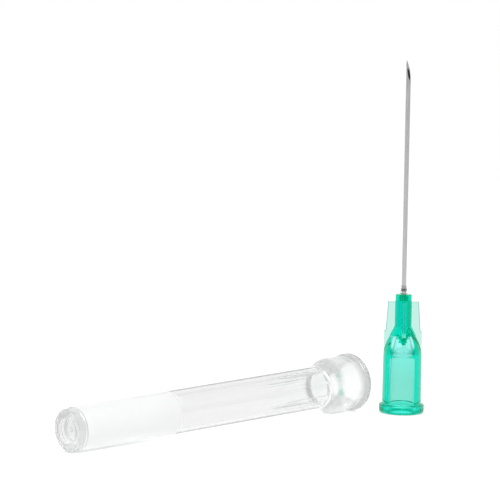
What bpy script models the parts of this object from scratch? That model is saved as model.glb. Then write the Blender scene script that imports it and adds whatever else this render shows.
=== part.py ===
"""Hypodermic needle, 0.8 mm by 40 mm, standing on its hub with its cap lying beside it.

Lengths are metres, angles are degrees, +Z is up. The needle is built about its own
upright axis. The cap is built about its own axis, closed end down, and is then laid
on the ground. The origin is the middle of the footprint, on the ground.
"""
import math

import bmesh
import bpy
from mathutils import Matrix, Vector

# Steel tube
TUBE_DIAMETER = 0.0008
TUBE_BORE = 0.0005
TUBE_REACH = 0.0400
TUBE_TAIL = 0.0004
BEVEL_ANGLE = 11.0
LANCET_ANGLE = 17.0
LANCET_TURN = 35.0
LANCET_DROP = 0.00003
BEVEL_FACING = -90.0

# Hub, outside
HUB_HEIGHT = 0.0204
FLANGE_DIAMETER = 0.00774
FLANGE_HEIGHT = 0.0015
FLANGE_TOP_FILLET = 0.0006
FLANGE_FOOT_FILLET = 0.0005
BODY_BASE_DIAMETER = 0.0067
BODY_TOP_DIAMETER = 0.00656
BODY_FOOT_FILLET = 0.0003
SHOULDER_ANGLE = 26.5
SHOULDER_FILLET = 0.0065
NOSE_DIAMETER = 0.0028
NOSE_LENGTH = 0.0055
NOSE_EDGE_FILLET = 0.00015
NOSE_ROOT_FILLET = 0.0003

# Hub, fins
FIN_COUNT = 4
FIN_TURN = 45.0
FIN_THICKNESS = 0.00065
FIN_INSET = 0.00005
FIN_STEP_HEIGHT = 0.0141
FIN_SHELF_DIAMETER = 0.00596
FIN_TOP_DIAMETER = 0.00526
FIN_TOP_DROP = 0.00125

# Hub, inside: the socket tapers by six per cent of its depth
SOCKET_MOUTH_DIAMETER = 0.0043
SOCKET_TAPER = 0.06
SOCKET_DEPTH = 0.0099
SOCKET_CHAMFER = 0.00015
SOCKET_LEDGE = 0.00015
ROOF_HEIGHT = 0.0130
ROOF_DIAMETER = 0.0019
BOSS_DIAMETER = 0.0015
BOSS_DROP = 0.0012
GLUE_WELL_DIAMETER = 0.0015
GLUE_WELL_DEPTH = 0.0011

# Glue round the tube
GLUE_RISE = 0.0015
GLUE_FOOT_DIAMETER = 0.00125
GLUE_TOP_DIAMETER = 0.0010
GLUE_EDGE_FILLET = 0.00003

# Cap, outside, measured from its closed end
CAP_END_DIAMETER = 0.0064
CAP_END_FILLET = 0.0003
CAP_END_RING = 0.0011
CAP_STEP = 0.00015
CAP_BARREL_END_DIAMETER = 0.00666
CAP_WALL = 0.0005
CAP_FLARE_LENGTH = 0.0020
CAP_FLARE_DIAMETER = 0.0077
CAP_COLLAR_LENGTH = 0.0062
CAP_COLLAR_DIAMETER = 0.0093
CAP_COLLAR_SLOPE = 0.0012
CAP_COLLAR_FILLET = 0.0004
CAP_GROOVE_WIDTH = 0.0006
CAP_GROOVE_DEPTH = 0.0002
CAP_GROOVE_BEVEL = 0.0001
CAP_RIM_DIAMETER = 0.00986
CAP_RIM_LENGTH = 0.0012
CAP_RIM_FILLET = 0.00035

# Cap, closed end
RECESS_DIAMETER = 0.0041
RECESS_DRAFT = 0.00015
RECESS_DEPTH = 0.0009
RECESS_EDGE_FILLET = 0.00015
GATE_DIAMETER = 0.0008
GATE_TOP_DIAMETER = 0.0004
GATE_HEIGHT = 0.00025

# Cap, inside
CAP_FLOOR = 0.0014
CAP_FLOOR_FILLET = 0.0005
CAP_BORE_END_DIAMETER = 0.0046
CAP_NECK_DIAMETER = 0.00474
CAP_NECK_HEIGHT = 0.0196
CAP_NECK_RUN = 0.0007
CAP_RIB_COUNT = 8
CAP_RIB_WIDTH = 0.0005
CAP_RIB_RISE = 0.00025
CAP_RIB_START = 0.0415
CAP_RIB_RUN_OUT = 0.0015
CAP_RIB_LEAD_IN = 0.0005
CAP_RIB_SETBACK = 0.0004
CAP_POCKET_DRAFT = 0.00007
CAP_MOUTH_CHAMFER = 0.00025

# How the cap fits on the needle, as it is when it is pushed on
SEAT_HEIGHT = 0.0060
TIP_CLEARANCE = 0.0040
BODY_CLEARANCE = 0.00008
FIN_CLEARANCE = 0.00005
SHELF_CLEARANCE = 0.0003

# How the cap lies beside the needle
CAP_APART = 0.00155
CAP_SIDE_OFFSET = 0.0069

# Gap between pieces that are glued or pushed together
GLUE_LINE = 0.00002

# Fineness of the surfaces
TURN_STEPS = 48
TUBE_STEPS = 32
CHORD_ERROR = 0.00001
WIDEST_STEP = 30.0
SHARP_ANGLE = 30.0
MERGE_DISTANCE = 0.000001

# Most of a straight stretch that the fillet at one end of it may take up
FILLET_SHARE = 0.49

# Room that a cutter takes beyond what it cuts, and the size of a grinding block
OVERCUT = 0.001
GRIND_BLOCK_SIZE = 0.010

BASE_COLOURS = {
    "hub_green": ((0.0, 0.60, 0.42), 0.18, 0.0, 0.75),
    "tube_steel": ((0.62, 0.62, 0.63), 0.28, 1.0, 0.0),
    "clear_glue": ((0.95, 0.96, 0.95), 0.08, 0.0, 0.95),
    "clear_plastic": ((0.93, 0.94, 0.95), 0.15, 0.0, 0.92),
}


def clear_scene():
    for item in list(bpy.data.objects):
        bpy.data.objects.remove(item, do_unlink=True)


def new_collection(name):
    collection = bpy.data.collections.new(name)
    bpy.context.scene.collection.children.link(collection)
    return collection


def plastic_or_metal(name):
    colour, roughness, metallic, see_through = BASE_COLOURS[name]
    material = bpy.data.materials.new(name)
    material.use_nodes = True
    shader = material.node_tree.nodes["Principled BSDF"]
    shader.inputs["Base Color"].default_value = (*colour, 1.0)
    shader.inputs["Roughness"].default_value = roughness
    shader.inputs["Metallic"].default_value = metallic
    shader.inputs["Transmission Weight"].default_value = see_through
    return material


def arc_through_corner(before, corner, after, fillet):
    """Points of a fillet of the given radius between two straight stretches."""
    to_before = (before - corner).normalized()
    to_after = (after - corner).normalized()
    opening = to_before.angle(to_after)
    reach = fillet / math.tan(opening / 2)
    longest = FILLET_SHARE * min((before - corner).length, (after - corner).length)
    if reach > longest:
        fillet *= longest / reach
        reach = longest
    centre = corner + (to_before + to_after).normalized() * fillet / math.sin(opening / 2)
    start = corner + to_before * reach - centre
    turn = math.pi - opening
    side = 1.0 if to_before.x * to_after.y < to_before.y * to_after.x else -1.0
    finest = 2 * math.acos(max(1 - CHORD_ERROR / fillet, 0.0))
    step = min(finest, math.radians(WIDEST_STEP))
    count = max(2, math.ceil(turn / step))
    points = []
    for index in range(count + 1):
        angle = side * turn * index / count
        swing = Matrix.Rotation(angle, 2)
        points.append(centre + swing @ start)
    return points


def rounded(outline, closed=False):
    """Turn (radius, height, fillet) corners into outline points."""
    corners = [Vector(point[:2]) for point in outline]
    fillets = [point[2] if len(point) > 2 else 0.0 for point in outline]
    points = []
    last = len(corners) - 1
    for index, corner in enumerate(corners):
        at_end = index in (0, last) and not closed
        if fillets[index] == 0.0 or at_end:
            points.append(corner)
            continue
        before = corners[index - 1]
        after = corners[(index + 1) % len(corners)]
        points.extend(arc_through_corner(before, corner, after, fillets[index]))
    return points


def turned(name, outline, collection, steps=TURN_STEPS, closed=False):
    """Solid of revolution about Z from an outline that runs down its outer side."""
    points = rounded(outline, closed)
    edges = [(index, index + 1) for index in range(len(points) - 1)]
    if closed:
        edges.append((len(points) - 1, 0))
    mesh = bpy.data.meshes.new(name)
    mesh.from_pydata([(point.x, 0.0, point.y) for point in points], edges, [])
    item = bpy.data.objects.new(name, mesh)
    collection.objects.link(item)
    screw = item.modifiers.new("Turn", "SCREW")
    screw.steps = steps
    screw.render_steps = steps
    screw.use_merge_vertices = True
    screw.merge_threshold = MERGE_DISTANCE
    return item


def plate(name, outline, thickness, collection):
    """Upright flat plate in the XZ plane from a closed outline."""
    curve = bpy.data.curves.new(name, "CURVE")
    curve.dimensions = "2D"
    curve.fill_mode = "BOTH"
    curve.extrude = thickness / 2
    spline = curve.splines.new("POLY")
    spline.points.add(len(outline) - 1)
    for point, (across, up) in zip(spline.points, outline):
        point.co = (across, up, 0.0, 1.0)
    spline.use_cyclic_u = True
    item = bpy.data.objects.new(name + "_outline", curve)
    collection.objects.link(item)
    item.rotation_euler = (math.radians(90), 0.0, 0.0)
    bpy.context.view_layer.update()
    solid = mesh_copy(item, name, collection)
    bpy.data.objects.remove(item, do_unlink=True)
    return solid


def mesh_copy(item, name, collection):
    """Mesh object of an item as it is evaluated, with loose seams welded."""
    graph = bpy.context.evaluated_depsgraph_get()
    mesh = bpy.data.meshes.new_from_object(item.evaluated_get(graph))
    mesh.name = name
    welded = bmesh.new()
    welded.from_mesh(mesh)
    bmesh.ops.remove_doubles(welded, verts=welded.verts, dist=MERGE_DISTANCE)
    welded.to_mesh(mesh)
    welded.free()
    copy = bpy.data.objects.new(name, mesh)
    copy.matrix_world = item.matrix_world
    collection.objects.link(copy)
    return copy


def boolean(item, tool, operation):
    cut = item.modifiers.new(tool.name, "BOOLEAN")
    cut.operation = operation
    cut.solver = "EXACT"
    cut.object = tool


def as_tool(item):
    item.hide_render = True
    item.display_type = "WIRE"
    return item


def finished(item, material):
    """Apply the modifiers, shade the round faces smooth and add the material."""
    graph = bpy.context.evaluated_depsgraph_get()
    mesh = bpy.data.meshes.new_from_object(item.evaluated_get(graph))
    item.modifiers.clear()
    item.data = mesh
    mesh.name = item.name
    mesh.shade_smooth()
    mesh.set_sharp_from_angle(angle=math.radians(SHARP_ANGLE))
    mesh.materials.clear()
    mesh.materials.append(material)
    return item


def sloped_block(name, through, normal, collection):
    """Block whose one face lies in the plane through a point, with that normal."""
    mesh = bpy.data.meshes.new(name)
    block = bmesh.new()
    bmesh.ops.create_cube(block, size=GRIND_BLOCK_SIZE)
    block.to_mesh(mesh)
    block.free()
    item = bpy.data.objects.new(name, mesh)
    turn = normal.to_track_quat("Z", "Y").to_matrix().to_4x4()
    item.matrix_world = Matrix.Translation(through + normal * GRIND_BLOCK_SIZE / 2) @ turn
    collection.objects.link(item)
    return as_tool(item)


def ground_face(angle, turn):
    """Outward normal of a grind at an angle to the tube, turned about the tube."""
    slope = math.radians(angle)
    facing = math.radians(BEVEL_FACING + turn)
    flat = Vector((math.cos(facing), math.sin(facing), 0.0))
    return flat * math.cos(slope) + Vector((0.0, 0.0, math.sin(slope)))


def tube_foot_height():
    return ROOF_HEIGHT - BOSS_DROP - TUBE_TAIL


def point_height():
    return HUB_HEIGHT + TUBE_REACH


def make_cannula(parts, tools):
    outer = TUBE_DIAMETER / 2
    inner = TUBE_BORE / 2
    foot = tube_foot_height()
    blank_top = point_height() + OVERCUT
    outline = [(outer, blank_top), (outer, foot), (inner, foot), (inner, blank_top)]
    cannula = turned("cannula", outline, parts, TUBE_STEPS, closed=True)
    away = math.radians(BEVEL_FACING + 180.0)
    point = Vector((outer * math.cos(away), outer * math.sin(away), point_height()))
    below = point - Vector((0.0, 0.0, LANCET_DROP))
    grinds = {
        "main_grind": (point, ground_face(BEVEL_ANGLE, 0.0)),
        "left_grind": (below, ground_face(LANCET_ANGLE, -LANCET_TURN)),
        "right_grind": (below, ground_face(LANCET_ANGLE, LANCET_TURN)),
    }
    for name, (through, normal) in grinds.items():
        boolean(cannula, sloped_block(name, through, normal, tools), "DIFFERENCE")
    return cannula


def hub_outline():
    flange = FLANGE_DIAMETER / 2
    base = BODY_BASE_DIAMETER / 2
    top = BODY_TOP_DIAMETER / 2
    nose = NOSE_DIAMETER / 2
    nose_root = HUB_HEIGHT - NOSE_LENGTH
    shoulder = nose_root - (top - nose) / math.tan(math.radians(SHOULDER_ANGLE))
    return [
        (0.0, HUB_HEIGHT),
        (nose, HUB_HEIGHT, NOSE_EDGE_FILLET),
        (nose, nose_root, NOSE_ROOT_FILLET),
        (top, shoulder, SHOULDER_FILLET),
        (base, FLANGE_HEIGHT, BODY_FOOT_FILLET),
        (flange, FLANGE_HEIGHT, FLANGE_TOP_FILLET),
        (flange, 0.0, FLANGE_FOOT_FILLET),
        (0.0, 0.0),
    ]


def fin_root_radius():
    return BODY_TOP_DIAMETER / 2 - FIN_INSET


def fin_outline():
    """Stepped outline of two opposite fins, running through the nose."""
    low = fin_root_radius()
    shelf = FIN_SHELF_DIAMETER / 2
    top = FIN_TOP_DIAMETER / 2
    fin_top = HUB_HEIGHT - FIN_TOP_DROP
    foot = SOCKET_DEPTH
    half = [(low, foot), (low, FIN_STEP_HEIGHT), (shelf, FIN_STEP_HEIGHT), (top, fin_top)]
    other = [(-across, up) for across, up in reversed(half)]
    return half + other


def hub_cavity_outline():
    mouth = SOCKET_MOUTH_DIAMETER / 2
    head = mouth - SOCKET_TAPER / 2 * SOCKET_DEPTH
    ledge = head - SOCKET_LEDGE
    lip = mouth - SOCKET_TAPER / 2 * SOCKET_CHAMFER
    boss_foot = ROOF_HEIGHT - BOSS_DROP
    channel = TUBE_DIAMETER / 2 + GLUE_LINE
    well = GLUE_WELL_DIAMETER / 2
    well_floor = HUB_HEIGHT - GLUE_WELL_DEPTH
    return [
        (0.0, HUB_HEIGHT + OVERCUT),
        (well, HUB_HEIGHT + OVERCUT),
        (well, well_floor),
        (channel, well_floor),
        (channel, boss_foot),
        (BOSS_DIAMETER / 2, boss_foot),
        (BOSS_DIAMETER / 2, ROOF_HEIGHT),
        (ROOF_DIAMETER / 2, ROOF_HEIGHT),
        (ledge, SOCKET_DEPTH + SOCKET_LEDGE),
        (ledge, SOCKET_DEPTH),
        (head, SOCKET_DEPTH),
        (lip, SOCKET_CHAMFER),
        (mouth + SOCKET_CHAMFER + OVERCUT, -OVERCUT),
        (0.0, -OVERCUT),
    ]


def make_hub(parts, tools):
    hub = turned("hub", hub_outline(), parts)
    for index in range(FIN_COUNT // 2):
        fins = as_tool(plate("fins_%d" % index, fin_outline(), FIN_THICKNESS, tools))
        turn = math.radians(FIN_TURN + 360.0 / FIN_COUNT * index)
        fins.matrix_world = Matrix.Rotation(turn, 4, "Z") @ fins.matrix_world
        boolean(hub, fins, "UNION")
    cavity = as_tool(turned("hub_cavity", hub_cavity_outline(), tools))
    boolean(hub, cavity, "DIFFERENCE")
    return hub


def make_adhesive_bead(parts):
    inner = TUBE_DIAMETER / 2 + GLUE_LINE
    plug = GLUE_WELL_DIAMETER / 2 - GLUE_LINE
    foot = HUB_HEIGHT - GLUE_WELL_DEPTH + GLUE_LINE
    outline = [
        (GLUE_TOP_DIAMETER / 2, HUB_HEIGHT + GLUE_RISE, GLUE_EDGE_FILLET),
        (GLUE_FOOT_DIAMETER / 2, HUB_HEIGHT),
        (plug, HUB_HEIGHT - GLUE_LINE),
        (plug, foot),
        (inner, foot),
        (inner, HUB_HEIGHT + GLUE_RISE),
    ]
    return turned("adhesive_bead", outline, parts, TUBE_STEPS, closed=True)


def cap_floor_height():
    return RECESS_DEPTH + CAP_FLOOR


def cap_length():
    """The point stands clear of the floor when the mouth is at its seat on the hub."""
    return cap_floor_height() + TIP_CLEARANCE + point_height() - SEAT_HEIGHT


def cap_shelf_height():
    """Where the pocket for the lower fins ends, inside the cap."""
    return cap_length() - (FIN_STEP_HEIGHT - SEAT_HEIGHT) - SHELF_CLEARANCE


def barrel_slope():
    mouth = FIN_SHELF_DIAMETER / 2 + FIN_CLEARANCE + CAP_WALL
    run = cap_shelf_height() - CAP_END_RING
    return (mouth - CAP_BARREL_END_DIAMETER / 2) / run


def barrel_radius(height):
    return CAP_BARREL_END_DIAMETER / 2 + barrel_slope() * (height - CAP_END_RING)


def bore_radius(height):
    """Radius of the wide part of the bore, which keeps an even wall."""
    return barrel_radius(height) - CAP_WALL


def cap_outer_outline():
    """Outside of the cap, from the mouth down to the rim of the closed end."""
    length = cap_length()
    rim = CAP_RIM_DIAMETER / 2
    collar = CAP_COLLAR_DIAMETER / 2
    groove = collar - CAP_GROOVE_DEPTH
    end = CAP_END_DIAMETER / 2
    rim_foot = length - CAP_RIM_LENGTH
    groove_foot = rim_foot - CAP_GROOVE_WIDTH
    collar_foot = length - CAP_COLLAR_LENGTH
    flare_top = collar_foot - CAP_COLLAR_SLOPE
    flare_foot = flare_top - CAP_FLARE_LENGTH
    return [
        (rim, length, CAP_RIM_FILLET),
        (rim, rim_foot, CAP_RIM_FILLET),
        (groove, rim_foot),
        (groove, groove_foot),
        (collar, groove_foot - CAP_GROOVE_BEVEL),
        (collar, collar_foot, CAP_COLLAR_FILLET),
        (CAP_FLARE_DIAMETER / 2, flare_top, CAP_COLLAR_FILLET),
        (barrel_radius(flare_foot), flare_foot),
        (barrel_radius(CAP_END_RING + CAP_STEP), CAP_END_RING + CAP_STEP),
        (end, CAP_END_RING),
        (end, 0.0, CAP_END_FILLET),
    ]


def cap_recess_outline():
    edge = RECESS_DIAMETER / 2
    return [
        (edge, 0.0, RECESS_EDGE_FILLET),
        (edge - RECESS_DRAFT, RECESS_DEPTH),
        (GATE_DIAMETER / 2, RECESS_DEPTH),
        (GATE_TOP_DIAMETER / 2, RECESS_DEPTH - GATE_HEIGHT),
        (0.0, RECESS_DEPTH - GATE_HEIGHT),
    ]


def cap_bore_outline():
    """Inside of the cap, from the floor on the axis up to the mouth."""
    length = cap_length()
    wide_foot = CAP_NECK_HEIGHT + CAP_NECK_RUN
    shelf = cap_shelf_height()
    pocket = BODY_BASE_DIAMETER / 2 + BODY_CLEARANCE
    mouth = pocket + CAP_POCKET_DRAFT
    return [
        (0.0, cap_floor_height()),
        (CAP_BORE_END_DIAMETER / 2, cap_floor_height(), CAP_FLOOR_FILLET),
        (CAP_NECK_DIAMETER / 2, CAP_NECK_HEIGHT),
        (bore_radius(wide_foot), wide_foot),
        (bore_radius(shelf), shelf),
        (pocket, shelf),
        (mouth, length - CAP_MOUTH_CHAMFER),
        (mouth + CAP_MOUTH_CHAMFER, length),
    ]


def rib_core_outline(foot, top):
    """Space inside the ribs, which widens into the wall where the ribs fade out."""
    crest_foot = foot + CAP_RIB_RUN_OUT
    crest_top = top - CAP_RIB_LEAD_IN
    foot_radius = bore_radius(crest_foot) - CAP_RIB_RISE
    top_radius = bore_radius(crest_top) - CAP_RIB_RISE
    return [
        (0.0, top + CAP_RIB_LEAD_IN),
        (top_radius + 2 * CAP_RIB_RISE, top + CAP_RIB_LEAD_IN),
        (top_radius, crest_top),
        (foot_radius, crest_foot),
        (foot_radius + 2 * CAP_RIB_RISE, foot - CAP_RIB_RUN_OUT),
        (0.0, foot - CAP_RIB_RUN_OUT),
    ]


def make_ribs(tools):
    """Plates across the bore, rooted in the middle of its wall, without their core."""
    foot = CAP_RIB_START
    top = cap_shelf_height() - CAP_RIB_SETBACK
    core = as_tool(turned("rib_core", rib_core_outline(foot, top), tools))
    low = foot - CAP_RIB_RUN_OUT / 2
    high = top + CAP_RIB_LEAD_IN / 2
    low_reach = bore_radius(low) + CAP_WALL / 2
    high_reach = bore_radius(high) + CAP_WALL / 2
    outline = [(-low_reach, low), (low_reach, low), (high_reach, high), (-high_reach, high)]
    pitch = 360.0 / CAP_RIB_COUNT
    ribs = []
    for index in range(CAP_RIB_COUNT // 2):
        pair = as_tool(plate("ribs_%d" % index, outline, CAP_RIB_WIDTH, tools))
        turn = math.radians(pitch * (index + 0.5))
        pair.matrix_world = Matrix.Rotation(turn, 4, "Z") @ pair.matrix_world
        boolean(pair, core, "DIFFERENCE")
        ribs.append(pair)
    return ribs


def make_cap(parts, tools):
    outline = cap_bore_outline() + cap_outer_outline() + cap_recess_outline()
    cap = turned("needle_cap", outline, parts)
    for pair in make_ribs(tools):
        boolean(cap, pair, "UNION")
    return cap


def resting_line(outline):
    """Two outline points on which a turned piece lies, and the tilt of its axis."""
    points = sorted((point.y, point.x) for point in rounded(outline))
    middle = (points[0][0] + points[-1][0]) / 2
    hull = []
    for point in points:
        while len(hull) > 1 and not turns_down(hull[-2], hull[-1], point):
            hull.pop()
        hull.append(point)
    for low, high in zip(hull, hull[1:]):
        if low[0] <= middle < high[0]:
            tilt = math.atan2(high[1] - low[1], high[0] - low[0])
            return low, tilt
    raise ValueError("the outline has no resting line")


def turns_down(first, second, third):
    run = (second[0] - first[0], second[1] - first[1])
    next_run = (third[0] - second[0], third[1] - second[1])
    return run[0] * next_run[1] - run[1] * next_run[0] < 0.0


def lay_cap_down(cap):
    """Lay the cap along X, closed end at -X, touching the ground at two rings."""
    outline = cap_outer_outline()
    (height, radius), tilt = resting_line(outline)
    lift = radius * math.cos(tilt) - height * math.sin(tilt)
    mouth_x = -(FLANGE_DIAMETER / 2 + CAP_APART)
    foot = Vector((mouth_x - cap_length() * math.cos(tilt), CAP_SIDE_OFFSET, lift))
    lean = Matrix.Rotation(math.radians(90.0) - tilt, 4, "Y")
    cap.matrix_world = Matrix.Translation(foot) @ lean


def world_box(items):
    corners = []
    for item in items:
        corners.extend(item.matrix_world @ vertex.co for vertex in item.data.vertices)
    lowest = Vector(min(corner[axis] for corner in corners) for axis in range(3))
    highest = Vector(max(corner[axis] for corner in corners) for axis in range(3))
    return lowest, highest


def centre_on_ground(items, collection):
    """Hang every piece on one empty and bring the middle of the footprint to zero."""
    anchor = bpy.data.objects.new("needle_with_cap_anchor", None)
    collection.objects.link(anchor)
    for item in items:
        item.parent = anchor
    lowest, highest = world_box(items)
    middle = (lowest + highest) / 2
    anchor.location = (-middle.x, -middle.y, -lowest.z)
    bpy.context.view_layer.update()


def main():
    clear_scene()
    parts = new_collection("hypodermic_needle")
    tools = new_collection("cutters")
    cap = make_cap(parts, tools)
    pieces = {
        "hub_green": make_hub(parts, tools),
        "tube_steel": make_cannula(parts, tools),
        "clear_glue": make_adhesive_bead(parts),
        "clear_plastic": cap,
    }
    bpy.context.view_layer.update()
    for name, piece in pieces.items():
        finished(piece, plastic_or_metal(name))
    lay_cap_down(cap)
    bpy.context.view_layer.update()
    centre_on_ground(list(pieces.values()), parts)


main()
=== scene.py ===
"""Looks of a hypodermic needle and its cap: clear and tinted plastic, steel and glue.

Lengths are metres and angles are degrees. The hub, the glue and the tube are built about
the needle's own axis. The cap is built about its own axis, closed end at zero.
"""
import math

import bmesh
import bpy
from mathutils import Matrix, Vector


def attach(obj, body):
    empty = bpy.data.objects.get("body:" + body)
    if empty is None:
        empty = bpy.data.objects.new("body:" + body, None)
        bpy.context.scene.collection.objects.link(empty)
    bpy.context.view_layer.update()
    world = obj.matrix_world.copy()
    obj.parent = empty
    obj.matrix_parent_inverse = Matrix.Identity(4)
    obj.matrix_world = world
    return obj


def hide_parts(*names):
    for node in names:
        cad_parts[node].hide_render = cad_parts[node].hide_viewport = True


# Places of the needle and the cap in the model
NEEDLE_FOOT = (0.03115329, -0.00398, 0.0)
CAP_FOOT = (-0.03494402, 0.00292, 0.00329517)
CAP_TILT = 1.5664946
CAP_LEAN = 90.0 - CAP_TILT

# Fineness of the surfaces
TURN_STEPS = 160
TUBE_STEPS = 72
CHORD_ERROR = 0.000002
WIDEST_STEP = 7.0
SHARP_ANGLE = 8.0
MERGE_DISTANCE = 0.0000005
FILLET_SHARE = 0.49
OVERCUT = 0.001

# Needle
HUB_HEIGHT = 0.0204
POINT_HEIGHT = 0.0604
TUBE_RADIUS = 0.0004
TUBE_BORE_RADIUS = 0.00025
TUBE_FOOT = 0.0114
BEVEL_ANGLE = 11.0
LANCET_ANGLE = 17.0
LANCET_TURN = 35.0
LANCET_DROP = 0.00003
BEVEL_FACING = -90.0
GRIND_BLOCK_SIZE = 0.010
GLUE_RISE = 0.0015
GLUE_GAP = 0.00002
GLUE_WELL_RADIUS = 0.00075
GLUE_WELL_FLOOR = 0.0193
GLUE_FOOT_RADIUS = 0.000625
GLUE_TOP_RADIUS = 0.0005
GLUE_EDGE_FILLET = 0.00003

# Hub outline: (radius, height, fillet), from the nose down to the foot
HUB_OUTLINE = [
    (0.0, 0.0204),
    (0.0014, 0.0204, 0.00015),
    (0.0014, 0.0149, 0.0003),
    (0.00328, 0.0111293, 0.0065),
    (0.00335, 0.0015, 0.0003),
    (0.00387, 0.0015, 0.0006),
    (0.00387, 0.0, 0.0005),
    (0.0, 0.0),
]

# Hub cavities: the well for the glue, and the socket with its roof and boss
WELL_OUTLINE = [
    (0.0, 0.0214),
    (0.00075, 0.0214),
    (0.00075, 0.0193),
    (0.0, 0.0193),
]
SOCKET_OUTLINE = [
    (0.0, 0.0118),
    (0.00075, 0.0118),
    (0.00075, 0.0130),
    (0.00095, 0.0130),
    (0.001703, 0.01005),
    (0.001703, 0.0099),
    (0.001853, 0.0099),
    (0.0021455, 0.00015),
    (0.0033, -0.001),
    (0.0, -0.001),
]

# Fins of the hub: outer edge of one fin, from its foot up
FIN_OUTLINE = [
    (0.00323, 0.0099),
    (0.00323, 0.0141),
    (0.00298, 0.0141),
    (0.00263, 0.01915),
]
FIN_COUNT = 4
FIN_TURN = 45.0
FIN_THICKNESS = 0.00065

# Cap outline from the mouth down the outside to the closed end, and its bore
CAP_OUTLINE = [
    (0.00493, 0.0607, 0.00035),
    (0.00493, 0.0595, 0.00035),
    (0.00445, 0.0595),
    (0.00445, 0.0589),
    (0.00465, 0.0588),
    (0.00465, 0.0545, 0.002),
    (0.00385, 0.0533, 0.002),
    (0.0035261, 0.0513),
    (0.0033306, 0.00125),
    (0.0032, 0.0011),
    (0.0032, 0.0, 0.0003),
    (0.00205, 0.0, 0.00015),
    (0.0019, 0.0009),
    (0.0004, 0.0009),
    (0.0002, 0.00065),
    (0.0, 0.00065),
]
CAP_BORE_OUTLINE = [
    (0.0, 0.0023),
    (0.0023, 0.0023, 0.0005),
    (0.00237, 0.0196),
    (0.002905, 0.0203),
    (0.00303, 0.0523),
    (0.00343, 0.0523),
    (0.0035, 0.06045),
    (0.00375, 0.0607),
]

# Ribs in the bore, which fade into its wall at both ends
SHELF_HEIGHT = 0.0523
SHELF_RADIUS = 0.00303
BORE_SLOPE = 0.00390625
RIB_COUNT = 8
RIB_WIDTH = 0.0005
RIB_RISE = 0.00025
RIB_ROOT = 0.00025
RIB_FOOT = 0.0415
RIB_TOP = 0.0519
RIB_RUN_OUT = 0.0030
RIB_ROUNDING = 0.012
RIB_LEAD_IN = 0.0005

# Optics of the see-through pieces. At this density, in one over a metre, the colour of
# a volume is about the share of light that one millimetre of it lets through.
PLASTIC_IOR = 1.49
GLUE_IOR = 1.5
VOLUME_DENSITY = 1000.0

# Pairs of heights or radii named for a start or an end are where a zone blends in or out

# Hub: colours of its parts, with painted shade on the rings below its shoulder and on its wall
# where seen edge on
HUB_WALL = (0.59, 0.907, 0.863)
HUB_ROOF = (0.80, 0.96, 0.96)
HUB_FIN = (0.58, 0.80, 0.73)
HUB_FIN_EDGE = (0.25, 0.50, 0.48)
HUB_FOOT = (0.0, 0.80, 0.68)
HUB_SOLID = (0.0, 0.63, 0.42)
# Painted shade of the rings below the shoulder
HUB_RING_SHADE = (0.0, 0.30, 0.24)
# Painted shade where the hub's wall is seen edge on
HUB_EDGE_SHADE = (0.0, 0.60, 0.39)
HUB_GLOSS = (0.0, 0.8, 0.7)
HUB_VOLUME = (0.80, 0.98, 0.96)
HUB_SHADOW = (0.45, 0.92, 0.82)

# Hub: where its parts are, by radius and by height
SOCKET_WALL_END = (0.0019, 0.0020)
OUTER_WALL_START = (0.0022, 0.0023)
FOOT_END = (0.0010, 0.0016)
FOOT_STRENGTH = 0.8
ROOF_START = (0.0100, 0.0102)
SHOULDER_START = (0.0110, 0.0116)
TOP_START = (0.0131, 0.0133)
BOSS_END = (0.0133, 0.0134)
FIN_EDGE_START = (0.0140, 0.0141)

# Hub: slanting lines between its parts, as the heights and the radii of their ends
BOSS_LINE = ((0.0118, 0.0130), (0.00082, 0.00122))
TOP_LINE = ((0.0131, 0.0149), (0.00234, 0.00144))
FIN_ROOT_LINE = ((0.0111293, 0.0149), (0.00332, 0.00144))
FIN_EDGE_LINE = ((0.0141, 0.01915), (0.00290, 0.00255))
SOLID_BLEND = 0.00005
FIN_BLEND = 0.00003

# Hub: where its wall counts as edge on and takes painted shade, and how the ledge and the slope
# shift that
EDGE_ON_RANGE = (0.14, 0.25)
LEDGE_START = (0.0095, 0.0098)
LEDGE_SHIFT = 0.08
SLOPE_START = (0.0110, 0.0120)
SLOPE_SHIFT = 0.22

# Hub: two faint rings of painted shade below its shoulder, stronger where they turn away
RING_HEIGHTS = [(0.0098, 0.0100), (0.0105, 0.0107)]
RING_BLEND = 0.00008
RING_FACING = (0.01, 0.10)
RING_STRENGTH = (0.15, 0.9)

# Hub: fine surface, with noise as (scale, detail)
HUB_GRAIN = (900.0, 3.0)
HUB_RIPPLE = (260.0, 2.0)
HUB_ROUGHNESS = (0.03, 0.09)
HUB_BUMP = 0.00001

# Glue: painted shade as (share of its rise, grey), darkest halfway up the rise, and fine
# surface
GLUE_SHADE_TONES = [(0.30, 0.92), (0.42, 0.40), (0.58, 0.40), (0.72, 0.80)]
GLUE_SHADOW = (0.95, 0.95, 0.95)
GLUE_GRAIN = (2500.0, 2.0)
GLUE_ROUGHNESS = (0.02, 0.08)
GLUE_BUMP = 0.00001

# Tube: tone along its drawn lines as (share of the noise, colour), and fine surface
STEEL_TONES = [(0.30, (0.455, 0.455, 0.465)), (0.75, (0.585, 0.585, 0.595))]
STEEL_LINES = (9000.0, 4.0)
STEEL_STRETCH = (1.0, 1.0, 0.04)
STEEL_ROUGHNESS = (0.20, 0.34)
STEEL_BUMP = 0.000004
# Painted light: the tube is white where it runs inside the hub
TUBE_PAINTED_LIGHT = (1.0, 1.0, 1.0)
GLUED_END = (HUB_HEIGHT - 0.0003, HUB_HEIGHT)
# Painted shade: near black inside the open bore of the tube
LUMEN_SHADE = (0.04, 0.04, 0.04)
LUMEN_WALL_END = (0.00026, 0.00028)
LUMEN_END = (0.0586, 0.0591)

# Cap: frosted zone of its outside
FROST_START = (0.0013, 0.0017)
FROST_END = (0.0191, 0.0195)
FROST_ROUGHNESS = 0.45
FROST_CLEARNESS = 0.45
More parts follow.
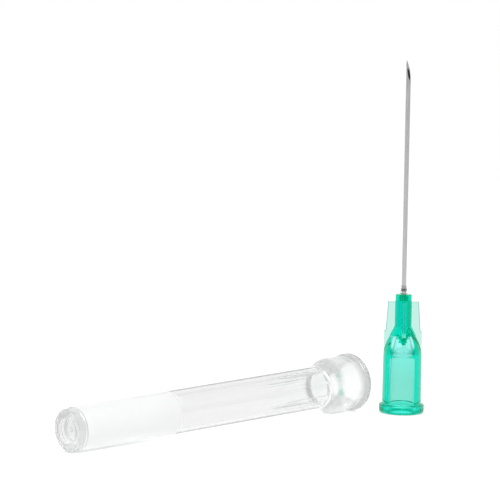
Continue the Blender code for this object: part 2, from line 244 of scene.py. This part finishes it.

# Cap: greys of its plastic as (height, grey), from the closed end to the mouth, which are
# painted shade, darkest at the closed end, the flange and the mouth rim
CAP_LENGTH = 0.0607
CAP_SHADE_TONES = [
    (0.0010, 0.74),
    (0.0016, 0.935),
    (0.0194, 0.935),
    (0.0197, 0.905),
    (0.0490, 0.912),
    (0.0520, 0.940),
    (0.0586, 0.945),
    (0.0590, 0.70),
    (0.0601, 0.70),
    (0.0603, 0.45),
]

# Cap: painted shade, a darker line where its clear outside is seen edge on
CAP_EDGE_SHADE = (0.12, 0.12, 0.12)
CAP_LINE_RANGE = (0.66, 0.80)
CAP_OUTSIDE_START = (0.00315, 0.00320)
CLEAR_START = (0.0195, 0.0199)
BARREL_END = (0.0508, 0.0513)
FLANGE_START = (0.0594, 0.0596)
FLANGE_STRENGTH = 0.6

# Cap: fine surface, and light through it
CAP_ROUGHNESS = 0.07
COLLAR_START = (0.0505, 0.0525)
COLLAR_ROUGHNESS = 0.18
CAP_GRAIN = (6000.0, 3.0)
CAP_RIPPLE = (220.0, 2.0)
CAP_BUMP = 0.000012
CAP_VOLUME = (0.990, 0.991, 0.991)
CAP_SHADOW = (0.93, 0.94, 0.94)

# Part of a noise's range that its values mostly fill
NOISE_SPAN = (0.3, 0.7)

# Blend at which Layer Weight's Facing is one less the cosine of the angle of view
PLAIN_BLEND = 0.5

# Camera
EYE = (-0.17578, -0.18781, 0.04718)
CAMERA_BEARING = 42.893
CAMERA_PITCH = 4.066
CAMERA_ROLL = 0.869
LENS = 116.16
SENSOR = 36.0
CLIP_START = 0.01
CLIP_END = 100.0

# Floor, which glows less where the object stands close to it, a painted contact shadow
FLOOR_SIZE = 30.0
FLOOR_TONE = (0.30, 0.30, 0.30, 1.0)
FLOOR_GLOW = (0.40, 0.80)
CONTACT_REACH = 0.0005
CONTACT_SAMPLES = 8

# Brightness of the studio: (share of a half turn towards the view, grey)
ROOM_TONES = [(0.0, 0.62), (0.5, 0.70), (0.75, 0.80), (0.92, 1.0)]
WHITE = (1.0, 1.0, 1.0, 1.0)
LIGHT_BOUNCES = 64

# Lamp
KEY_PLACE = (-0.9, -0.3, 1.0)
KEY_TARGET = (0.0, 0.0, 0.02)
KEY_SIZE = 0.8
KEY_POWER = 10.0


def arc_through_corner(before, corner, after, fillet):
    """Points of a fillet of the given radius between two straight stretches."""
    to_before = (before - corner).normalized()
    to_after = (after - corner).normalized()
    opening = to_before.angle(to_after)
    reach = fillet / math.tan(opening / 2)
    longest = FILLET_SHARE * min((before - corner).length, (after - corner).length)
    if reach > longest:
        fillet *= longest / reach
        reach = longest
    centre = corner + (to_before + to_after).normalized() * fillet / math.sin(opening / 2)
    start = corner + to_before * reach - centre
    turn = math.pi - opening
    side = 1.0 if to_before.x * to_after.y < to_before.y * to_after.x else -1.0
    finest = 2 * math.acos(max(1 - CHORD_ERROR / fillet, 0.0))
    step = min(finest, math.radians(WIDEST_STEP))
    count = max(2, math.ceil(turn / step))
    points = []
    for index in range(count + 1):
        swing = Matrix.Rotation(side * turn * index / count, 2)
        points.append(centre + swing @ start)
    return points


def rounded(outline, closed=False):
    """Turn (radius, height, fillet) corners into outline points."""
    corners = [Vector(point[:2]) for point in outline]
    fillets = [point[2] if len(point) > 2 else 0.0 for point in outline]
    points = []
    last = len(corners) - 1
    for index, corner in enumerate(corners):
        at_end = index in (0, last) and not closed
        if fillets[index] == 0.0 or at_end:
            points.append(corner)
            continue
        before = corners[index - 1]
        after = corners[(index + 1) % len(corners)]
        points.extend(arc_through_corner(before, corner, after, fillets[index]))
    return points


def turned(name, outline, steps=TURN_STEPS, closed=False):
    """Mesh object turned about Z from an outline that runs down its outer side."""
    points = rounded(outline, closed)
    edges = [(index, index + 1) for index in range(len(points) - 1)]
    if closed:
        edges.append((len(points) - 1, 0))
    mesh = bpy.data.meshes.new(name)
    mesh.from_pydata([(point.x, 0.0, point.y) for point in points], edges, [])
    item = bpy.data.objects.new(name, mesh)
    bpy.context.scene.collection.objects.link(item)
    screw = item.modifiers.new("Turn", "SCREW")
    screw.steps = steps
    screw.render_steps = steps
    screw.use_merge_vertices = True
    screw.merge_threshold = MERGE_DISTANCE
    return applied(item)


def applied(item):
    """Bake an item's modifiers into its mesh and weld the loose seams."""
    bpy.context.view_layer.update()
    graph = bpy.context.evaluated_depsgraph_get()
    mesh = bpy.data.meshes.new_from_object(item.evaluated_get(graph))
    item.modifiers.clear()
    welded = bmesh.new()
    welded.from_mesh(mesh)
    bmesh.ops.remove_doubles(welded, verts=welded.verts, dist=MERGE_DISTANCE)
    welded.to_mesh(mesh)
    welded.free()
    mesh.name = item.name
    item.data = mesh
    return item


def plate(name, outline, thickness):
    """Upright flat plate in the XZ plane, about its middle plane."""
    mesh = bpy.data.meshes.new(name)
    block = bmesh.new()
    corners = [block.verts.new((across, -thickness / 2, up)) for across, up in outline]
    face = block.faces.new(corners)
    pushed = bmesh.ops.extrude_face_region(block, geom=[face])
    moved = [item for item in pushed["geom"] if isinstance(item, bmesh.types.BMVert)]
    bmesh.ops.translate(block, verts=moved, vec=(0.0, thickness, 0.0))
    bmesh.ops.recalc_face_normals(block, faces=block.faces)
    block.to_mesh(mesh)
    block.free()
    item = bpy.data.objects.new(name, mesh)
    bpy.context.scene.collection.objects.link(item)
    return item


def combined(item, tools, operation):
    """Join or cut an item with each tool in turn, then remove the tools."""
    for tool in tools:
        step = item.modifiers.new(tool.name, "BOOLEAN")
        step.operation = operation
        step.solver = "EXACT"
        step.object = tool
    applied(item)
    for tool in tools:
        bpy.data.objects.remove(tool, do_unlink=True)
    return item


def smoothed(item):
    item.data.shade_smooth()
    item.data.set_sharp_from_angle(angle=math.radians(SHARP_ANGLE))
    return item


def grinding_block(name, through, normal):
    """Block whose one face lies in the plane through a point, with that normal."""
    mesh = bpy.data.meshes.new(name)
    block = bmesh.new()
    bmesh.ops.create_cube(block, size=GRIND_BLOCK_SIZE)
    block.to_mesh(mesh)
    block.free()
    item = bpy.data.objects.new(name, mesh)
    bpy.context.scene.collection.objects.link(item)
    turn = normal.to_track_quat("Z", "Y").to_matrix().to_4x4()
    item.matrix_world = Matrix.Translation(through + normal * GRIND_BLOCK_SIZE / 2) @ turn
    return item


def ground_face(angle, turn):
    slope = math.radians(angle)
    facing = math.radians(BEVEL_FACING + turn)
    flat = Vector((math.cos(facing), math.sin(facing), 0.0))
    return flat * math.cos(slope) + Vector((0.0, 0.0, math.sin(slope)))


def make_tube():
    top = POINT_HEIGHT + OVERCUT
    outline = [
        (TUBE_RADIUS, top),
        (TUBE_RADIUS, TUBE_FOOT),
        (TUBE_BORE_RADIUS, TUBE_FOOT),
        (TUBE_BORE_RADIUS, top),
    ]
    tube = turned("steel_tube", outline, TUBE_STEPS, closed=True)
    away = math.radians(BEVEL_FACING + 180.0)
    point = Vector((TUBE_RADIUS * math.cos(away), TUBE_RADIUS * math.sin(away), POINT_HEIGHT))
    below = point - Vector((0.0, 0.0, LANCET_DROP))
    blocks = [
        grinding_block("main_grind", point, ground_face(BEVEL_ANGLE, 0.0)),
        grinding_block("left_grind", below, ground_face(LANCET_ANGLE, -LANCET_TURN)),
        grinding_block("right_grind", below, ground_face(LANCET_ANGLE, LANCET_TURN)),
    ]
    return combined(tube, blocks, "DIFFERENCE")


def make_hub():
    hub = turned("green_hub", HUB_OUTLINE)
    other_side = [(-across, up) for across, up in reversed(FIN_OUTLINE)]
    fins = []
    for index in range(FIN_COUNT // 2):
        fin = plate("fins_%d" % index, FIN_OUTLINE + other_side, FIN_THICKNESS)
        fin.matrix_world = Matrix.Rotation(math.radians(FIN_TURN + 90.0 * index), 4, "Z")
        fins.append(fin)
    combined(hub, fins, "UNION")
    hollows = [turned("glue_well", WELL_OUTLINE), turned("socket", SOCKET_OUTLINE)]
    return combined(hub, hollows, "DIFFERENCE")


def make_glue():
    inner = TUBE_RADIUS + GLUE_GAP
    plug = GLUE_WELL_RADIUS - GLUE_GAP
    foot = GLUE_WELL_FLOOR + GLUE_GAP
    outline = [
        (GLUE_TOP_RADIUS, HUB_HEIGHT + GLUE_RISE, GLUE_EDGE_FILLET),
        (GLUE_FOOT_RADIUS, HUB_HEIGHT),
        (plug, HUB_HEIGHT - GLUE_GAP),
        (plug, foot),
        (inner, foot),
        (inner, HUB_HEIGHT + GLUE_RISE),
    ]
    return turned("glue_bead", outline, TUBE_STEPS, closed=True)


def bore_radius(height):
    return SHELF_RADIUS - BORE_SLOPE * (SHELF_HEIGHT - height)


def make_cap():
    cap = turned("clear_cap", CAP_BORE_OUTLINE + CAP_OUTLINE)
    crest_foot = RIB_FOOT + RIB_RUN_OUT
    crest_top = RIB_TOP - RIB_LEAD_IN
    foot_radius = bore_radius(crest_foot) - RIB_RISE
    top_radius = bore_radius(crest_top) - RIB_RISE
    core_outline = [
        (0.0, RIB_TOP + RIB_LEAD_IN),
        (top_radius + 2 * RIB_RISE, RIB_TOP + RIB_LEAD_IN),
        (top_radius, crest_top),
        (foot_radius, crest_foot, RIB_ROUNDING),
        (foot_radius + 2 * RIB_RISE, RIB_FOOT - RIB_RUN_OUT),
        (0.0, RIB_FOOT - RIB_RUN_OUT),
    ]
    low = RIB_FOOT - RIB_RUN_OUT / 2
    high = RIB_TOP + RIB_LEAD_IN / 2
    low_reach = bore_radius(low) + RIB_ROOT
    high_reach = bore_radius(high) + RIB_ROOT
    outline = [(-low_reach, low), (low_reach, low), (high_reach, high), (-high_reach, high)]
    ribs = []
    for index in range(RIB_COUNT // 2):
        pair = plate("ribs_%d" % index, outline, RIB_WIDTH)
        turn = math.radians(360.0 / RIB_COUNT * (index + 0.5))
        pair.matrix_world = Matrix.Rotation(turn, 4, "Z")
        ribs.append(combined(pair, [turned("rib_core", core_outline)], "DIFFERENCE"))
    return combined(cap, ribs, "UNION")


def new_material(name):
    """Material with its node tree and its main shader."""
    material = bpy.data.materials.new(name)
    material.use_nodes = True
    tree = material.node_tree
    return material, tree, tree.nodes["Principled BSDF"]


def add_node(tree, kind, **values):
    node = tree.nodes.new(kind)
    for key, value in values.items():
        setattr(node, key, value)
    return node


def own_place(tree, foot, turn=(0.0, 0.0, 0.0)):
    """Coordinates about a piece's own axis, from its place in the model."""
    place = add_node(tree, "ShaderNodeTexCoord").outputs["Object"]
    back = add_node(tree, "ShaderNodeMapping", vector_type="TEXTURE")
    back.inputs["Location"].default_value = foot
    back.inputs["Rotation"].default_value = turn
    tree.links.new(place, back.inputs["Vector"])
    return back.outputs["Vector"]


def noise(tree, vector, scale, detail):
    texture = add_node(tree, "ShaderNodeTexNoise")
    texture.inputs["Scale"].default_value = scale
    texture.inputs["Detail"].default_value = detail
    tree.links.new(vector, texture.inputs["Vector"])
    return texture.outputs["Fac"]


def mapped(tree, value, from_range, to_range):
    node = add_node(tree, "ShaderNodeMapRange")
    node.inputs["From Min"].default_value = from_range[0]
    node.inputs["From Max"].default_value = from_range[1]
    node.inputs["To Min"].default_value = to_range[0]
    node.inputs["To Max"].default_value = to_range[1]
    tree.links.new(value, node.inputs["Value"])
    return node.outputs["Result"]


def risen(tree, value, zone):
    """Zero below a zone, and one above it."""
    return mapped(tree, value, zone, (0.0, 1.0))


def fallen(tree, value, zone):
    """One below a zone, and zero above it."""
    return mapped(tree, value, zone, (1.0, 0.0))


def ramp(tree, value, stops):
    """Colour that follows (position, colour) stops, where one number stands for a grey."""
    node = add_node(tree, "ShaderNodeValToRGB")
    elements = node.color_ramp.elements
    while len(elements) < len(stops):
        elements.new(1.0)
    for element, (position, tone) in zip(elements, stops):
        colour = tone if isinstance(tone, tuple) else (tone, tone, tone)
        element.position = position
        element.color = (*colour, 1.0)
    tree.links.new(value, node.inputs["Fac"])
    return node.outputs["Color"]


def bumped(tree, height, distance):
    node = add_node(tree, "ShaderNodeBump")
    node.inputs["Distance"].default_value = distance
    tree.links.new(height, node.inputs["Height"])
    return node.outputs["Normal"]


def let_light_through(tree, tint):
    """Shadow rays pass a see-through piece, so that it casts a pale shadow."""
    shader = tree.nodes["Principled BSDF"]
    output = tree.nodes["Material Output"]
    path = add_node(tree, "ShaderNodeLightPath")
    clear = add_node(tree, "ShaderNodeBsdfTransparent")
    clear.inputs["Color"].default_value = (*tint, 1.0)
    mix = add_node(tree, "ShaderNodeMixShader")
    tree.links.new(path.outputs["Is Shadow Ray"], mix.inputs[0])
    tree.links.new(shader.outputs["BSDF"], mix.inputs[1])
    tree.links.new(clear.outputs["BSDF"], mix.inputs[2])
    tree.links.new(mix.outputs["Shader"], output.inputs["Surface"])


def absorbing(tree, colour):
    volume = add_node(tree, "ShaderNodeVolumeAbsorption")
    volume.inputs["Color"].default_value = (*colour, 1.0)
    volume.inputs["Density"].default_value = VOLUME_DENSITY
    output = tree.nodes["Material Output"]
    tree.links.new(volume.outputs["Volume"], output.inputs["Volume"])


def joined(tree, operation, first, *others):
    """Work out an operation on two or more values, one after the other."""
    result = first
    for other in others:
        node = add_node(tree, "ShaderNodeMath", operation=operation)
        tree.links.new(result, node.inputs[0])
        tree.links.new(other, node.inputs[1])
        result = node.outputs[0]
    return result


def mixed(tree, factor, first, second):
    """Blend two colours, each a constant or the output of a node."""
    node = add_node(tree, "ShaderNodeMix", data_type="RGBA")
    tree.links.new(factor, node.inputs["Factor"])
    for name, colour in (("A", first), ("B", second)):
        if isinstance(colour, tuple):
            node.inputs[name].default_value = (*colour, 1.0)
        else:
            tree.links.new(colour, node.inputs[name])
    return node.outputs["Result"]


def within(tree, radius, reach, blend):
    """One inside a reach that changes with height, and zero outside it."""
    return fallen(tree, joined(tree, "SUBTRACT", radius, reach), (0.0, blend))


def beyond(tree, radius, reach, blend):
    """One outside a reach that changes with height, and zero inside it."""
    return fallen(tree, joined(tree, "SUBTRACT", reach, radius), (0.0, blend))


def slant(tree):
    """Zero where a surface is seen straight on, and one where it is seen edge on."""
    weight = add_node(tree, "ShaderNodeLayerWeight")
    weight.inputs["Blend"].default_value = PLAIN_BLEND
    return weight.outputs["Facing"]


def round_place(tree, place):
    """Distance from the axis, and height along it."""
    split = add_node(tree, "ShaderNodeSeparateXYZ")
    tree.links.new(place, split.inputs["Vector"])
    flat = add_node(tree, "ShaderNodeVectorMath", operation="MULTIPLY")
    flat.inputs[1].default_value = (1.0, 1.0, 0.0)
    tree.links.new(place, flat.inputs[0])
    across = add_node(tree, "ShaderNodeVectorMath", operation="LENGTH")
    tree.links.new(flat.outputs["Vector"], across.inputs[0])
    return across.outputs["Value"], split.outputs["Z"]


def solid_parts(tree, radius, up):
    """One on the nose, the shoulder and the boss."""
    inside = within(tree, radius, mapped(tree, up, *TOP_LINE), SOLID_BLEND)
    top = joined(tree, "MULTIPLY", inside, risen(tree, up, TOP_START))
    core = within(tree, radius, mapped(tree, up, *BOSS_LINE), SOLID_BLEND)
    boss = joined(tree, "MULTIPLY", core, fallen(tree, up, BOSS_END))
    return joined(tree, "MAXIMUM", top, boss)


def painted_edge_shade(tree, radius, up):
    """One where the outside of the body is seen edge on, where painted shade goes."""
    ledge = mapped(tree, up, LEDGE_START, (0.0, LEDGE_SHIFT))
    slope = mapped(tree, up, SLOPE_START, (0.0, SLOPE_SHIFT))
    shifted = joined(tree, "SUBTRACT", joined(tree, "ADD", slant(tree), ledge), slope)
    edge_on = risen(tree, shifted, EDGE_ON_RANGE)
    outside = risen(tree, radius, OUTER_WALL_START)
    return joined(tree, "MULTIPLY", edge_on, outside, fallen(tree, up, TOP_START))


# One band of the painted ring shade
def shoulder_ring(tree, up, start, end):
    rise = risen(tree, up, (start - RING_BLEND, start))
    return joined(tree, "MULTIPLY", rise, fallen(tree, up, (end, end + RING_BLEND)))


def painted_ring_shade(tree, radius, up):
    """Painted shade: faint dark rings round the outside of the body, below its shoulder."""
    rings = [shoulder_ring(tree, up, start, end) for start, end in RING_HEIGHTS]
    outside = risen(tree, radius, OUTER_WALL_START)
    strength = mapped(tree, slant(tree), RING_FACING, RING_STRENGTH)
    return joined(tree, "MULTIPLY", joined(tree, "MAXIMUM", *rings), outside, strength)


def hub_colour(tree, radius, up):
    """Colour of the hub, laid on part by part, with painted shade on rings below the shoulder
    and where the wall is seen edge on.
    """
    socket = fallen(tree, radius, SOCKET_WALL_END)
    domed = joined(tree, "MAXIMUM", socket, risen(tree, up, SHOULDER_START))
    roof = joined(tree, "MULTIPLY", domed, risen(tree, up, ROOF_START))
    colour = mixed(tree, roof, HUB_WALL, HUB_ROOF)
    fins = beyond(tree, radius, mapped(tree, up, *FIN_ROOT_LINE), FIN_BLEND)
    colour = mixed(tree, fins, colour, HUB_FIN)
    rims = beyond(tree, radius, mapped(tree, up, *FIN_EDGE_LINE), FIN_BLEND)
    fin_edges = joined(tree, "MULTIPLY", rims, risen(tree, up, FIN_EDGE_START))
    colour = mixed(tree, fin_edges, colour, HUB_FIN_EDGE)
    colour = mixed(tree, mapped(tree, up, FOOT_END, (FOOT_STRENGTH, 0.0)), colour, HUB_FOOT)
    colour = mixed(tree, solid_parts(tree, radius, up), colour, HUB_SOLID)
    colour = mixed(tree, painted_ring_shade(tree, radius, up), colour, HUB_RING_SHADE)
    return mixed(tree, painted_edge_shade(tree, radius, up), colour, HUB_EDGE_SHADE)


def hub_plastic():
    """Green see-through plastic, deeper in the nose, with painted shade where the wall is seen
    edge on.
    """
    material, tree, shader = new_material("hub_green_plastic")
    shader.inputs["Transmission Weight"].default_value = 1.0
    shader.inputs["IOR"].default_value = PLASTIC_IOR
    shader.inputs["Specular Tint"].default_value = (*HUB_GLOSS, 1.0)
    place = own_place(tree, NEEDLE_FOOT)
    radius, up = round_place(tree, place)
    tree.links.new(hub_colour(tree, radius, up), shader.inputs["Base Color"])
    grain = noise(tree, place, *HUB_GRAIN)
    tree.links.new(mapped(tree, grain, NOISE_SPAN, HUB_ROUGHNESS), shader.inputs["Roughness"])
    ripple = noise(tree, place, *HUB_RIPPLE)
    tree.links.new(bumped(tree, ripple, HUB_BUMP), shader.inputs["Normal"])
    absorbing(tree, HUB_VOLUME)
    let_light_through(tree, HUB_SHADOW)
    return material


def clear_glue():
    """Clear glue, with a ring of painted shade halfway up its rise round the tube."""
    material, tree, shader = new_material("clear_glue")
    shader.inputs["Transmission Weight"].default_value = 1.0
    shader.inputs["IOR"].default_value = GLUE_IOR
    place = own_place(tree, NEEDLE_FOOT)
    up = round_place(tree, place)[1]
    rise = risen(tree, up, (HUB_HEIGHT, HUB_HEIGHT + GLUE_RISE))
    # Painted shade: the glue is darker in a ring halfway up its rise
    tree.links.new(ramp(tree, rise, GLUE_SHADE_TONES), shader.inputs["Base Color"])
    grain = noise(tree, place, *GLUE_GRAIN)
    tree.links.new(mapped(tree, grain, NOISE_SPAN, GLUE_ROUGHNESS), shader.inputs["Roughness"])
    tree.links.new(bumped(tree, grain, GLUE_BUMP), shader.inputs["Normal"])
    let_light_through(tree, GLUE_SHADOW)
    return material


def tube_steel():
    """Steel with fine drawn lines, with painted light where it runs inside the hub and painted
    shade in the open bore.
    """
    material, tree, shader = new_material("drawn_steel")
    shader.inputs["Metallic"].default_value = 1.0
    place = own_place(tree, NEEDLE_FOOT)
    stretch = add_node(tree, "ShaderNodeMapping")
    stretch.inputs["Scale"].default_value = STEEL_STRETCH
    tree.links.new(place, stretch.inputs["Vector"])
    lines = noise(tree, stretch.outputs["Vector"], *STEEL_LINES)
    radius, up = round_place(tree, place)
    # Painted light where the tube runs inside the hub
    in_hub_light = fallen(tree, up, GLUED_END)
    colour = mixed(tree, in_hub_light, ramp(tree, lines, STEEL_TONES), TUBE_PAINTED_LIGHT)
    # Painted shade in the open bore
    bore = fallen(tree, radius, LUMEN_WALL_END)
    dark = joined(tree, "MULTIPLY", bore, fallen(tree, up, LUMEN_END))
    tree.links.new(mixed(tree, dark, colour, LUMEN_SHADE), shader.inputs["Base Color"])
    tree.links.new(mapped(tree, lines, NOISE_SPAN, STEEL_ROUGHNESS), shader.inputs["Roughness"])
    tree.links.new(bumped(tree, lines, STEEL_BUMP), shader.inputs["Normal"])
    return material


def cap_colour(tree, radius, along):
    """Painted shade of the cap along its length, with a darker painted line where its clear
    outside is seen edge on.
    """
    stops = [(height / CAP_LENGTH, tone) for height, tone in CAP_SHADE_TONES]
    tone = ramp(tree, risen(tree, along, (0.0, CAP_LENGTH)), stops)
    clear = risen(tree, along, CLEAR_START)
    barrel = joined(tree, "MULTIPLY", clear, fallen(tree, along, BARREL_END))
    flange = mapped(tree, along, FLANGE_START, (0.0, FLANGE_STRENGTH))
    shaded_line_zone = joined(tree, "MAXIMUM", barrel, flange)
    # Painted shade: a dark line where the clear outside is seen edge on
    edge_on = risen(tree, slant(tree), CAP_LINE_RANGE)
    outside = risen(tree, radius, CAP_OUTSIDE_START)
    return mixed(tree, joined(tree, "MULTIPLY", edge_on, outside, shaded_line_zone), tone, CAP_EDGE_SHADE)


def cap_plastic():
    """Clear plastic, frosted on the closed half of the barrel and satin on the collar, with
    painted shade in its colour.
    """
    material, tree, shader = new_material("cap_clear_plastic")
    shader.inputs["IOR"].default_value = PLASTIC_IOR
    place = own_place(tree, CAP_FOOT, (0.0, math.radians(CAP_LEAN), 0.0))
    radius, along = round_place(tree, place)
    tree.links.new(cap_colour(tree, radius, along), shader.inputs["Base Color"])
    start = risen(tree, along, FROST_START)
    frost = joined(tree, "MULTIPLY", start, fallen(tree, along, FROST_END))
    frosted = mapped(tree, frost, (0.0, 1.0), (CAP_ROUGHNESS, FROST_ROUGHNESS))
    satin = mapped(tree, along, COLLAR_START, (CAP_ROUGHNESS, COLLAR_ROUGHNESS))
    tree.links.new(joined(tree, "MAXIMUM", frosted, satin), shader.inputs["Roughness"])
    clearness = mapped(tree, frost, (0.0, 1.0), (1.0, FROST_CLEARNESS))
    tree.links.new(clearness, shader.inputs["Transmission Weight"])
    coarse = joined(tree, "MULTIPLY", noise(tree, place, *CAP_GRAIN), frost)
    height = joined(tree, "ADD", coarse, noise(tree, place, *CAP_RIPPLE))
    tree.links.new(bumped(tree, height, CAP_BUMP), shader.inputs["Normal"])
    absorbing(tree, CAP_VOLUME)
    let_light_through(tree, CAP_SHADOW)
    return material


def place_pieces():
    needle = Matrix.Translation(NEEDLE_FOOT)
    lean = Matrix.Rotation(math.radians(CAP_LEAN), 4, "Y")
    lying = Matrix.Translation(CAP_FOOT) @ lean
    pieces = [
        (make_hub(), needle, hub_plastic(), "hub", "hub_green"),
        (make_tube(), needle, tube_steel(), "cannula", "tube_steel"),
        (make_glue(), needle, clear_glue(), "adhesive_bead", "clear_glue"),
        (make_cap(), lying, cap_plastic(), "needle_cap", "clear_plastic"),
    ]
    for piece, place, material, node, slot in pieces:
        smoothed(piece)
        piece.data.materials.clear()
        piece.data.materials.append(material)
        piece.data.transform(place)
        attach(piece, "root")
        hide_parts(node)


def make_floor():
    mesh = bpy.data.meshes.new("floor")
    half = FLOOR_SIZE / 2
    sheet = bmesh.new()
    corners = [(-half, -half), (half, -half), (half, half), (-half, half)]
    sheet.faces.new([sheet.verts.new((across, along, 0.0)) for across, along in corners])
    sheet.to_mesh(mesh)
    sheet.free()
    floor = bpy.data.objects.new("floor", mesh)
    bpy.context.scene.collection.objects.link(floor)
    material, tree, shader = new_material("white_floor")
    shader.inputs["Base Color"].default_value = FLOOR_TONE
    shader.inputs["Roughness"].default_value = 1.0
    shader.inputs["Specular IOR Level"].default_value = 0.0
    shader.inputs["Emission Color"].default_value = WHITE
    # Painted contact shadow: the floor glows less where the object stands close to it
    contact_shadow = add_node(tree, "ShaderNodeAmbientOcclusion", samples=CONTACT_SAMPLES)
    contact_shadow.inputs["Distance"].default_value = CONTACT_REACH
    glow = mapped(tree, contact_shadow.outputs["AO"], (0.0, 1.0), FLOOR_GLOW)
    tree.links.new(glow, shader.inputs["Emission Strength"])
    mesh.materials.append(material)


def make_world():
    """White behind the object, and a studio that darkens to its sides, front and ceiling."""
    world = bpy.data.worlds.new("studio")
    bpy.context.scene.world = world
    world.use_nodes = True
    tree = world.node_tree
    room = tree.nodes["Background"]
    place = add_node(tree, "ShaderNodeTexCoord").outputs["Generated"]
    bearing = math.radians(CAMERA_BEARING)
    ahead = add_node(tree, "ShaderNodeVectorMath", operation="DOT_PRODUCT")
    ahead.inputs[1].default_value = (math.sin(bearing), math.cos(bearing), 0.0)
    tree.links.new(place, ahead.inputs[0])
    turned_to = risen(tree, ahead.outputs["Value"], (-1.0, 1.0))
    tree.links.new(ramp(tree, turned_to, ROOM_TONES), room.inputs["Color"])
    backdrop = add_node(tree, "ShaderNodeBackground")
    backdrop.inputs["Color"].default_value = WHITE
    path = add_node(tree, "ShaderNodeLightPath")
    mix = add_node(tree, "ShaderNodeMixShader")
    tree.links.new(path.outputs["Is Camera Ray"], mix.inputs[0])
    tree.links.new(room.outputs["Background"], mix.inputs[1])
    tree.links.new(backdrop.outputs["Background"], mix.inputs[2])
    tree.links.new(mix.outputs["Shader"], tree.nodes["World Output"].inputs["Surface"])


def make_lamp(name, place, target, size, power):
    data = bpy.data.lights.new(name, "AREA")
    data.shape = "SQUARE"
    data.size = size
    data.energy = power
    lamp = bpy.data.objects.new(name, data)
    bpy.context.scene.collection.objects.link(lamp)
    aim = Vector(target) - Vector(place)
    turn = aim.to_track_quat("-Z", "Y").to_matrix().to_4x4()
    lamp.matrix_world = Matrix.Translation(place) @ turn
    return lamp


def make_camera():
    bearing = math.radians(CAMERA_BEARING)
    pitch = math.radians(CAMERA_PITCH)
    roll = math.radians(CAMERA_ROLL)
    level = Vector((math.sin(bearing), math.cos(bearing), 0.0))
    right = Vector((math.cos(bearing), -math.sin(bearing), 0.0))
    forward = level * math.cos(pitch) - Vector((0.0, 0.0, math.sin(pitch)))
    up = right.cross(forward)
    across = right * math.cos(roll) + up * math.sin(roll)
    upright = up * math.cos(roll) - right * math.sin(roll)
    turn = Matrix((across, upright, -forward)).transposed().to_4x4()
    data = bpy.data.cameras.new("camera")
    data.lens = LENS
    data.sensor_width = SENSOR
    data.clip_start = CLIP_START
    data.clip_end = CLIP_END
    camera = bpy.data.objects.new("camera", data)
    bpy.context.scene.collection.objects.link(camera)
    camera.matrix_world = Matrix.Translation(EYE) @ turn
    bpy.context.scene.camera = camera


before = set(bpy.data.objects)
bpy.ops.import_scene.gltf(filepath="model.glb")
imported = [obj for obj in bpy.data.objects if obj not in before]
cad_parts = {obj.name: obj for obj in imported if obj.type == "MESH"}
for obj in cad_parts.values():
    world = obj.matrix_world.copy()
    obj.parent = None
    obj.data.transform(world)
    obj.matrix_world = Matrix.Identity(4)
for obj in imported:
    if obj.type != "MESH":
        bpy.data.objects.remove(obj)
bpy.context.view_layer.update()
scene = bpy.context.scene
scene.view_settings.view_transform = "Standard"
scene.cycles.max_bounces = LIGHT_BOUNCES
scene.cycles.glossy_bounces = LIGHT_BOUNCES
scene.cycles.transmission_bounces = LIGHT_BOUNCES
place_pieces()
make_floor()
make_world()
make_lamp("key", KEY_PLACE, KEY_TARGET, KEY_SIZE, KEY_POWER)
make_camera()
